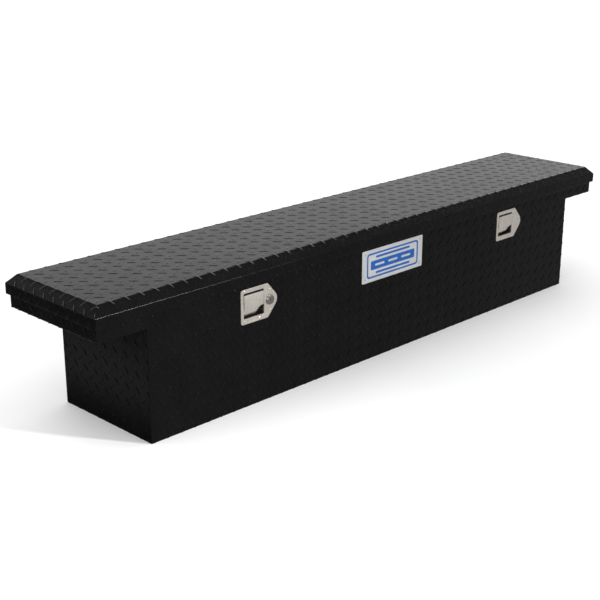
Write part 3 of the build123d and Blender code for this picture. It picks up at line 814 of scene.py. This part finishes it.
def long_axes(sign):
    """Directions of the front (sign -1) or back (sign 1) wall: u along X."""
    def axes(u, point, way):
        at = np.stack([u, -sign * point[:, 0], point[:, 1]], 1)
        normal = np.stack([0 * u, sign * way[:, 1], way[:, 0]], 1)
        way_v = np.stack([0 * u, -sign * way[:, 0], way[:, 1]], 1)
        return at, normal, np.tile([1.0, 0, 0], (len(u), 1)), way_v
    return axes


def end_axes(sign):
    """Directions of an end wall: u along Y, sign -1 at the left."""
    def axes(u, point, way):
        at = np.stack([-sign * point[:, 0], u, point[:, 1]], 1)
        normal = np.stack([sign * way[:, 1], 0 * u, way[:, 0]], 1)
        way_v = np.stack([-sign * way[:, 0], 0 * u, way[:, 1]], 1)
        return at, normal, np.tile([0, 1.0, 0], (len(u), 1)), way_v
    return axes


def long_section():
    """Front or back wall seen end on: upright, with its rim turned in."""
    return Section([(-FACE_Y, 0), (-FACE_Y, RIM_Z), (-FACE_Y + RIM_FLANGE, RIM_Z)], [BEND])


def build_front():
    section = long_section()
    holes, loops, plates = [], [], []
    for side_name in ("left", "right"):
        holes.append(opening_outline(side_name, SHEET_GAP))
        plates.append(plate_outline(side_name))
        loops.append(plate_outline(side_name, PRESSED))
    plates.append(rounded_rectangle(NAME_MIDDLE, NAME_HALF, NAME_CORNER_R))
    grown = (NAME_HALF[0] + PRESSED, NAME_HALF[1] + PRESSED)
    loops.append(rounded_rectangle(NAME_MIDDLE, grown, NAME_CORNER_R + PRESSED))
    holes.append(circle((paddle_x("left") + LOCK_X, LATCH_Z), LOCK_HOLE_R, 32))

    def fade(uv):
        share = np.clip((RIM_Z - BEND - uv[:, 1]) / EDGE_FADE, 0, 1)
        for plate in plates:
            away = np.where(in_polygon(uv, plate), 0, distance_to(uv, plate))
            share = np.minimum(share, np.clip(away / PRESSED, 0, 1))
        return share

    tread = Tread(WALL_FIRST, WALL_PITCH, LEAN, None, fade)
    wall_sheet(
        "front_wall", "front_panel", section, t_outline(section), long_axes(-1), tread,
        holes, loops + plates, RIM_Z - BEND,
    )


def build_back():
    section = long_section()
    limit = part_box("hinge_leaf_tub")[0].z - 1 * MM

    def fade(uv):
        return np.clip((limit - uv[:, 1]) / EDGE_FADE, 0, 1)

    tread = Tread(WALL_FIRST, WALL_PITCH, LEAN, None, fade)
    wall_sheet(
        "back_wall", "back_panel", section, t_outline(section), long_axes(1), tread,
        limit=limit,
    )


BOLT_CLEAR = 14 * MM            # plain sheet round a bolt hole, for its washer


def build_ends():
    half = FACE_Y - SHEET
    lip = FACE_Y - RIM_FLANGE
    section = Section(
        [(-TUB_X, 0), (-TUB_X, WING_Z), (-WING_X, WING_Z), (-WING_X, RIM_Z),
         (-WING_X + RIM_FLANGE, RIM_Z)],
        [TIGHT_BEND, BEND, BEND],
    )
    bolt = next(m for m in frame["record"]["mounts"] if m["name"] == "rail_bolts_left")
    spread, bolt_r = bolt["dims"]["spacing_y_mm"] * MM, bolt["dims"]["hole_r_mm"] * MM
    bolt_x = bolt["pos_m"][0]
    runs = [(start, stop, part) for start, stop, part in section.parts if part[0] == "run"]
    under_start, _, under_part = runs[1]
    bolt_v = under_start + (under_part[1][0] - bolt_x)
    turn_in = runs[3][0]
    limit = runs[2][1]

    for side_name, sign in (("left", -1), ("right", 1)):
        holes = [circle((s * spread / 2, bolt_v), bolt_r, 24) for s in (-1, 1)]
        outline = [(-half, 0), (half, 0), (half, turn_in), (lip, turn_in), (lip, section.length),
                   (-lip, section.length), (-lip, turn_in), (-half, turn_in)]

        def fade(uv):
            share = np.clip((limit - uv[:, 1]) / EDGE_FADE, 0, 1)
            for s in (-1, 1):
                gap = np.hypot(uv[:, 0] - s * spread / 2, uv[:, 1] - bolt_v) - BOLT_CLEAR
                share = np.minimum(share, np.clip(gap / PRESSED, 0, 1))
            return share

        rings = [circle((s * spread / 2, bolt_v), BOLT_CLEAR + 1.5 * MM, 24) for s in (-1, 1)]
        tread = Tread(END_FIRST, END_PITCH, LEAN, None, fade)
        wall_sheet(
            f"end_wall_{side_name}", f"end_panel_{side_name}", section, outline,
            end_axes(sign), tread, holes, rings, limit,
        )


build_lid()
build_front()
build_back()
build_ends()


# -------------------- CAD shapes with their edges broken
def softened(node, width=0.35 * MM, segments=2):
    """A copy of a CAD node whose sharp edges are rounded over."""
    mesh = frame["nodes"][node].data.copy()
    bm = bmesh.new()
    bm.from_mesh(mesh)
    bmesh.ops.remove_doubles(bm, verts=bm.verts, dist=0.002 * MM)
    bmesh.ops.dissolve_limit(bm, angle_limit=math.radians(0.6), verts=bm.verts, edges=bm.edges)
    sharp = [
        e for e in bm.edges if e.is_manifold and e.calc_face_angle(0) > math.radians(32)
    ]
    bmesh.ops.bevel(
        bm, geom=sharp, offset=width, offset_type="OFFSET", segments=segments, profile=0.5,
        affect="EDGES", clamp_overlap=True,
    )
    bmesh.ops.triangulate(bm, faces=[f for f in bm.faces if len(f.verts) > 4])
    bm.to_mesh(mesh)
    bm.free()
    for key in [a.name for a in mesh.attributes if a.name.startswith("custom_normal")]:
        mesh.attributes.remove(mesh.attributes[key])
    mesh.polygons.foreach_set("use_smooth", [True] * len(mesh.polygons))
    mesh.set_sharp_from_angle(angle=math.radians(40))
    finish = PLATE_STEEL if node.startswith("latch_plate") else MATERIALS[SLOT_OF[node]]
    return stand_for(new_object(node + "_made", mesh, finish), node)


# -------------------- small made pieces
def flat_slab(loops, front, back):
    """Closed plate facing -Y; each loop is an outline in x and z, holes by even-odd."""
    lines = Lines()
    for loop in loops:
        lines.path(loop, closed=True)

    def inside(xz):
        kept = np.zeros(len(xz), bool)
        for loop in loops:
            kept ^= in_polygon(xz, loop)
        return kept

    places, triangles = triangulate(lines.points, lines, inside)
    count = len(places)
    verts = [(x, front, z) for x, z in places] + [(x, back, z) for x, z in places]
    faces = [tuple(t) for t in triangles] + [tuple(t[::-1] + count) for t in triangles]
    faces += [(b, a, a + count, b + count) for a, b in border(triangles)]
    return verts, faces


def plain_mesh(name, verts, faces, smooth=30):
    mesh = bpy.data.meshes.new(name)
    mesh.from_pydata([tuple(map(float, v)) for v in verts], [], [tuple(map(int, f)) for f in faces])
    bm = bmesh.new()
    bm.from_mesh(mesh)
    bmesh.ops.delete(bm, geom=[v for v in bm.verts if not v.link_faces], context="VERTS")
    bmesh.ops.recalc_face_normals(bm, faces=bm.faces)
    bm.to_mesh(mesh)
    bm.free()
    mesh.polygons.foreach_set("use_smooth", [True] * len(mesh.polygons))
    mesh.set_sharp_from_angle(angle=math.radians(smooth))
    return mesh


def joined(parts):
    """One list of vertices and faces from several."""
    verts, faces = [], []
    for more_verts, more_faces in parts:
        start = len(verts)
        verts += list(more_verts)
        faces += [tuple(i + start for i in face) for face in more_faces]
    return verts, faces


def tube(path, radii, sides=10, flatten=1.0, across=None):
    """Round bar along a path, its radius given point by point, with closed ends."""
    path = [Vector(p) for p in path]
    side = None
    verts, faces = [], []
    for k, point in enumerate(path):
        way = (path[min(k + 1, len(path) - 1)] - path[max(k - 1, 0)]).normalized()
        if side is None:
            side = Vector(across) if across else way.orthogonal()
        side = (side - way * side.dot(way)).normalized()
        up = way.cross(side)
        for j in range(sides):
            a = 2 * math.pi * j / sides
            verts.append(point + radii[k] * (side * math.cos(a) + up * math.sin(a) * flatten))
    for k in range(len(path) - 1):
        for j in range(sides):
            n = (j + 1) % sides
            faces.append((k * sides + j, k * sides + n, (k + 1) * sides + n, (k + 1) * sides + j))
    faces.append(tuple(range(sides))[::-1])
    faces.append(tuple(range((len(path) - 1) * sides, len(path) * sides)))
    return verts, faces


WELD_R = 1.5 * MM
RIPPLE = 2.2 * MM


def bead(start, stop, radius=WELD_R, flatten=0.6, across=None):
    """Weld bead with its ripples, tapering off at both ends."""
    start, stop = Vector(start), Vector(stop)
    length = (stop - start).length
    count = max(4, round(length / RIPPLE)) * 3
    path, radii = [], []
    for k in range(count + 1):
        t = k / count
        end = min(t, 1 - t) * length / (2 * radius)
        swell = 0.82 + 0.18 * abs(math.sin(math.pi * k / 3 + 0.4))
        path.append(start.lerp(stop, t))
        radii.append(radius * swell * min(1.0, 0.35 + 0.65 * end))
    return tube(path, radii, 8, flatten, across)


def build_welds():
    """Beads at the tub's corners and wings, and the dressed mitres of the lid."""
    seam = FACE_Y - SHEET
    out = (0, 1, 0)
    tub, lid = [], []
    for sx in (-1, 1):
        for sy in (-1, 1):
            for x, low, high in (
                (sx * TUB_X, 3 * MM, WING_Z - 2 * MM),
                (sx * WING_X, WING_Z + 3 * MM, RIM_Z - 5 * MM),
            ):
                ends = (x, sy * seam, low), (x, sy * seam, high)
                tub.append(bead(*ends, WELD_R * 0.8, 0.5, out))
            for k in range(3):
                x = TUB_X + 16 * MM + k * 40 * MM
                ends = (sx * x, sy * seam, WING_Z), (sx * (x + 20 * MM), sy * seam, WING_Z)
                tub.append(bead(*ends, WELD_R * 1.1, 0.7, out))
            for k in range(9 if sx > 0 else 0):
                x = -640 * MM + k * 160 * MM
                ends = (x - 12 * MM, sy * seam, 0.3 * MM), (x + 12 * MM, sy * seam, 0.3 * MM)
                tub.append(bead(*ends, WELD_R, 0.5, out))
            top, bend, foot = (
                (sx * (HALF_L - inset), sy * (HALF_W - inset), z) for inset, z in (
                    (SLOPE_RUN + 0.6 * MM, TOP_Z - 0.7 * MM),
                    (0.9 * MM, TOP_Z - SLOPE_RISE - 0.7 * MM),
                    (0.5 * MM, SKIRT_Z + 1.4 * MM),
                )
            )
            lid.append(bead(top, bend, 0.8 * MM, 0.9))
            lid.append(bead(bend, foot, 0.8 * MM, 0.9))
    for name, parts, body in (("tub_welds", tub, "tub"), ("lid_welds", lid, "lid")):
        piece = new_object(name, plain_mesh(name, *joined(parts), 50), MATERIALS["coat_smooth"])
        add_on(piece, body)


NAME_INSET = 9 * MM
NAME_LINE = 4.2 * MM
PRINT_THICK = 0.15 * MM


def build_name_print():
    """Plain border and bars printed in blue on the nameplate, with no lettering."""
    half = (NAME_HALF[0] - NAME_INSET - 8 * MM, NAME_HALF[1] - NAME_INSET)
    loops = [
        rounded_rectangle(NAME_MIDDLE, half, 8 * MM, 8),
        rounded_rectangle(NAME_MIDDLE, (half[0] - NAME_LINE, half[1] - NAME_LINE), 5.6 * MM, 8),
    ]
    for rise, reach, thick in ((0, 80, 11), (19.5, 62, 2.6), (-19.5, 62, 2.6)):
        middle = (NAME_MIDDLE[0], NAME_MIDDLE[1] + rise * MM)
        loops.append(rounded_rectangle(middle, (reach * MM, thick * MM), min(thick, 3) * 0.9 * MM, 6))
    for shift in (-48, 0, 48):
        middle = (NAME_MIDDLE[0] + shift * MM, NAME_MIDDLE[1])
        loops.append(rounded_rectangle(middle, (17 * MM, 2.8 * MM), 2.6 * MM, 6))
    slab = flat_slab(loops, name_low.y - PRINT_THICK, name_low.y + 0.3 * MM)
    piece = new_object("nameplate_print", plain_mesh("nameplate_print", *slab), PRINT)
    add_on(piece, "tub")


def build_spring(node, turns, wire=0.55 * MM):
    """Torsion spring: a close coil on its pin, in the sleeve's room."""
    low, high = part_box(node)
    radius = (high.z - low.z) / 2 - wire
    y, z = (low.y + high.y) / 2, (low.z + high.z) / 2
    steps = turns * 20
    path = []
    for k in range(steps + 1):
        a = 2 * math.pi * turns * k / steps
        x = low.x + wire + (high.x - low.x - 2 * wire) * k / steps
        path.append((x, y + radius * math.cos(a), z + radius * math.sin(a)))
    mesh = plain_mesh(node + "_coil", *tube(path, [wire] * len(path), 8), 60)
    stand_for(new_object(node + "_coil", mesh, MATERIALS["spring_steel"]), node)


def build_seal():
    """Foam strip round the rim: flat base, domed top and a groove along each side."""
    low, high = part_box("weatherstrip")
    tall, wide = high.z - low.z, 12 * MM
    profile = [(-0.5, 0), (-0.5, 0.24), (-0.45, 0.3), (-0.5, 0.37)]
    profile += [(-0.5 * math.cos(a), 0.5 + 0.5 * math.sin(a)) for a in np.linspace(0, math.pi, 13)]
    profile += [(0.5, 0.37), (0.45, 0.3), (0.5, 0.24), (0.5, 0)]
    corner = 9 * MM
    half_x, half_y = high.x - wide / 2, high.y - wide / 2
    line = rounded_rectangle((0, 0), (half_x, half_y), corner, 8)
    verts, faces = [], []
    count = len(line)
    for k in range(count):
        way = Vector(line[(k + 1) % count]) - Vector(line[k - 1])
        out = Vector((way.y, -way.x)).normalized()
        for across, up in profile:
            spot = Vector(line[k]) + out * across * wide
            verts.append((spot.x, spot.y, low.z + up * tall))
    size = len(profile)
    for k in range(count):
        for j in range(size):
            n, m = (j + 1) % size, (k + 1) % count
            faces.append((k * size + j, k * size + n, m * size + n, m * size + j))
    piece = new_object("weatherstrip_foam", plain_mesh("weatherstrip_foam", verts, faces, 50),
                       MATERIALS["seal_foam"])
    stand_for(piece, "weatherstrip")


build_welds()
build_name_print()
build_seal()
for side_name in ("left", "right"):
    build_spring(f"paddle_spring_{side_name}", 11)
    build_spring(f"hook_spring_{side_name}", 3)

for node, piece in frame["nodes"].items():
    piece.data.materials.clear()
    piece.data.materials.append(MATERIALS[SLOT_OF[node]])
    if node not in MADE and not node.startswith("lid_stiffener"):   # the lid hides those
        softened(node)


# -------------------- floor, light and camera
def node_math(tree, operation, *values):
    """A maths node over sockets or plain numbers."""
    made = tree.nodes.new("ShaderNodeMath")
    made.operation = operation
    for slot, value in zip(made.inputs, values):
        if isinstance(value, (int, float)):
            slot.default_value = value
        else:
            tree.links.new(value, slot)
    return made.outputs[0]


def disc(name, radius, material, drop):
    bm = bmesh.new()
    bmesh.ops.create_circle(bm, cap_ends=True, radius=radius, segments=64)
    mesh = bpy.data.meshes.new(name)
    bm.to_mesh(mesh)
    bm.free()
    made = new_object(name, mesh, material)
    made.location.z = cad_bounds[0][2] - drop
    return made


FLOOR_R = 60
POOL_LEVEL = 0.42               # how bright the floor is in reflections
# painted shade beside the box's left end: the reflected glow rises across these distances from it
POOL_NEAR, POOL_FULL = 0.01, 0.17
POOL_LEFT, POOL_LEFT_END = -0.90, -1.26         # it darkens between these places on X


def build_stage():
    """White floor, and under it a glowing one that only reflections see: its emission paints light,
    with painted shade beside the box's left end and far to the left.
    """
    s = Surface("floor_pale", **{"Specular IOR Level": 0.0})
    s.two_tone(s.noise(3, 3), (0.93, 0.93, 0.93), (0.95, 0.95, 0.95))
    s.roughness(s.spread(s.noise(9, 3), 0.85, 0.95))
    floor = disc("floor", FLOOR_R, s.material, 0.2 * MM)
    floor.visible_glossy = False

    pool = Surface("floor_reflected", **{"Specular IOR Level": 0.0, "Base Color": (0, 0, 0, 1)})
    tree = pool.tree
    split = tree.nodes.new("ShaderNodeSeparateXYZ")
    tree.links.new(pool.space, split.inputs[0])
    # painted shade: the glow drops right beside the box's left end, standing in for the box's shadow
    # on the floor
    beside = node_math(tree, "SUBTRACT", -TUB_X, split.outputs["X"])
    near = map_range(tree, beside, (POOL_NEAR, POOL_FULL, 0.12, 1.0), "SMOOTHSTEP")
    near = node_math(tree, "MAXIMUM", near, node_math(tree, "LESS_THAN", beside, 0.0))
    # painted shade: the glow also fades far to the left
    ends = (POOL_LEFT_END, POOL_LEFT, 0.08, 1.0)
    left = map_range(tree, split.outputs["X"], ends, "SMOOTHSTEP")
    level = node_math(tree, "MULTIPLY", node_math(tree, "MULTIPLY", near, left), POOL_LEVEL)
    tree.links.new(level, pool.shader.inputs["Emission Strength"])
    pool.shader.inputs["Emission Color"].default_value = (1, 1, 1, 1)
    mirror = disc("floor_reflected", FLOOR_R, pool.material, 0.4 * MM)
    for kind in ("camera", "diffuse", "transmission", "shadow", "volume_scatter"):
        setattr(mirror, f"visible_{kind}", False)


def heading(azimuth, elevation):
    """Unit vector from angles in degrees: azimuth from +X towards +Y, elevation up."""
    a, e = math.radians(azimuth), math.radians(elevation)
    return Vector((math.cos(a) * math.cos(e), math.sin(a) * math.cos(e), math.sin(e)))


LAMP_SIZE = 0.4
LAMP_RADIANCE = 5
LAMP_DISTANCE = 6.0
LAMP_SPREAD = math.radians(15)
LAMP_AIM = Vector((-HALF_L, -HALF_W, SKIRT_Z))


def build_edge_light():
    """Square lamp aimed at the near corner. It shows in reflections only."""
    light = bpy.data.lights.new("edge_light", "AREA")
    light.shape = "RECTANGLE"
    light.size, light.size_y = LAMP_SIZE, LAMP_SIZE
    light.energy = LAMP_RADIANCE * math.pi * LAMP_SIZE * LAMP_SIZE
    light.diffuse_factor = 0.0
    light.spread = LAMP_SPREAD
    lamp = bpy.data.objects.new("edge_light", light)
    away = heading(-56, 19)
    lamp.location = LAMP_AIM + away * LAMP_DISTANCE
    lamp.rotation_euler = (-away).to_track_quat("-Z", "Y").to_euler()
    lamp.visible_camera = False
    bpy.context.scene.collection.objects.link(lamp)


AMBIENT = 1.25                  # light on the floor
SURROUND = 0.46                 # the studio walls in reflections
PATCHES = (                     # azimuth, elevation, half angle, softness, level
    (43, 17, 27, 10, 1.15),
    (14, 32, 11, 5, 9.0),
    (-137, 18, 28, 12, 2.2),
    (137, 10, 20, 10, 1.0),
    (95, 13, 11, 6, 3.0),
)
DARK_PATCHES = ((-84, 12, 30, 14), (165, 12, 24, 12))


def build_world():
    world = bpy.data.worlds.new("studio")
    world.use_nodes = True
    bpy.context.scene.world = world
    tree = world.node_tree
    back = tree.nodes["Background"]
    where = tree.nodes.new("ShaderNodeTexCoord").outputs["Generated"]

    def patch(azimuth, elevation, half, soft, start, stop):
        dot = tree.nodes.new("ShaderNodeVectorMath")
        dot.operation = "DOT_PRODUCT"
        tree.links.new(where, dot.inputs[0])
        dot.inputs[1].default_value = heading(azimuth, elevation)
        edge = [math.cos(math.radians(min(half + s * soft, 180))) for s in (0.5, -0.5)]
        return map_range(tree, dot.outputs["Value"], (*edge, start, stop), "SMOOTHSTEP")

    level = SURROUND
    for azimuth, elevation, half, soft in DARK_PATCHES:
        level = node_math(tree, "MULTIPLY", level, patch(azimuth, elevation, half, soft, 1.0, 0.1))
    for azimuth, elevation, half, soft, bright in PATCHES:
        level = node_math(tree, "MAXIMUM", level, patch(azimuth, elevation, half, soft, 0, bright))
    path = tree.nodes.new("ShaderNodeLightPath")
    pick = tree.nodes.new("ShaderNodeMix")
    pick.inputs[2].default_value = AMBIENT
    tree.links.new(path.outputs["Is Glossy Ray"], pick.inputs[0])
    tree.links.new(level, pick.inputs[3])
    tree.links.new(pick.outputs[0], back.inputs["Strength"])
    back.inputs["Color"].default_value = (1, 1, 1, 1)


VIEW_AZIMUTH = math.radians(-44.94)
VIEW_ELEVATION = math.radians(19.07)
VIEW_DISTANCE = 2.984
VIEW_AIM = Vector((-0.0981, 0.0678, 0.1024))
LENS = 70.8


def build_camera():
    camera = bpy.data.objects.new("camera", bpy.data.cameras.new("camera"))
    bpy.context.scene.collection.objects.link(camera)
    camera.data.sensor_width = 36
    camera.data.lens = LENS
    away = Vector((
        math.sin(VIEW_AZIMUTH) * math.cos(VIEW_ELEVATION),
        -math.cos(VIEW_AZIMUTH) * math.cos(VIEW_ELEVATION),
        math.sin(VIEW_ELEVATION),
    ))
    camera.location = VIEW_AIM + away * VIEW_DISTANCE
    camera.rotation_euler = (-away).to_track_quat("-Z", "Y").to_euler()
    camera.data.clip_end = 200
    bpy.context.scene.camera = camera


build_stage()
build_world()
build_edge_light()
build_camera()
bpy.context.scene.view_settings.view_transform = "Standard"
